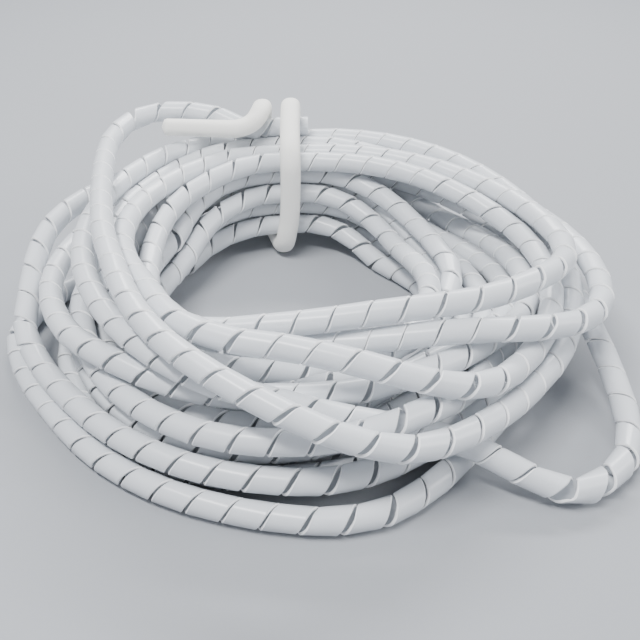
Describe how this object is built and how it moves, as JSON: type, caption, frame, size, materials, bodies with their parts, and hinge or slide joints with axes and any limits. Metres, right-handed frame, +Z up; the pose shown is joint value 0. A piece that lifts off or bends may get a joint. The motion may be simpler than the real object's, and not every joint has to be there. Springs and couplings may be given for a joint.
{
  "type": "coil of spiral wrap tube",
  "caption": "Loose ring of helically slit natural plastic wrap tube for young stems or cables, held by a soft tie, with a rising end and a wide free loop.",
  "frame": {"origin": "centre of the whole coil's box, on the surface it lies on", "axes": "+Z up, through the ring; the tie is at the back, near +Y, and the wide free loop is at the front right, towards +X and -Y"},
  "size_m": [0.2683, 0.2481, 0.0752],
  "materials": {
    "natural_polyethylene": "translucent natural polyethylene, smooth, slit into a helical strip",
    "soft_white_tie": "satin warm white soft plastic"
  },
  "bodies": {
    "coil": {"coil_turn_01": "natural_polyethylene", "coil_turn_02": "natural_polyethylene", "coil_turn_03": "natural_polyethylene", "coil_turn_04": "natural_polyethylene", "coil_turn_05": "natural_polyethylene", "coil_turn_06": "natural_polyethylene", "coil_turn_07": "natural_polyethylene", "coil_turn_08": "natural_polyethylene", "coil_turn_09": "natural_polyethylene", "coil_turn_10": "natural_polyethylene", "coil_turn_11": "natural_polyethylene", "coil_turn_12": "natural_polyethylene", "coil_turn_13": "natural_polyethylene", "coil_turn_14": "natural_polyethylene", "coil_turn_15": "natural_polyethylene", "coil_turn_16": "natural_polyethylene", "coil_turn_17": "natural_polyethylene"},
    "tie": {"tie": "soft_white_tie"}
  },
  "joints": [
    {"name": "tie_slide", "type": "hinge", "parent": "coil", "child": "tie", "pos_m": [-0.00297, 0.00627, 0], "axis": [0, 0, 1], "range_deg": [-4, 3]}
  ]
}
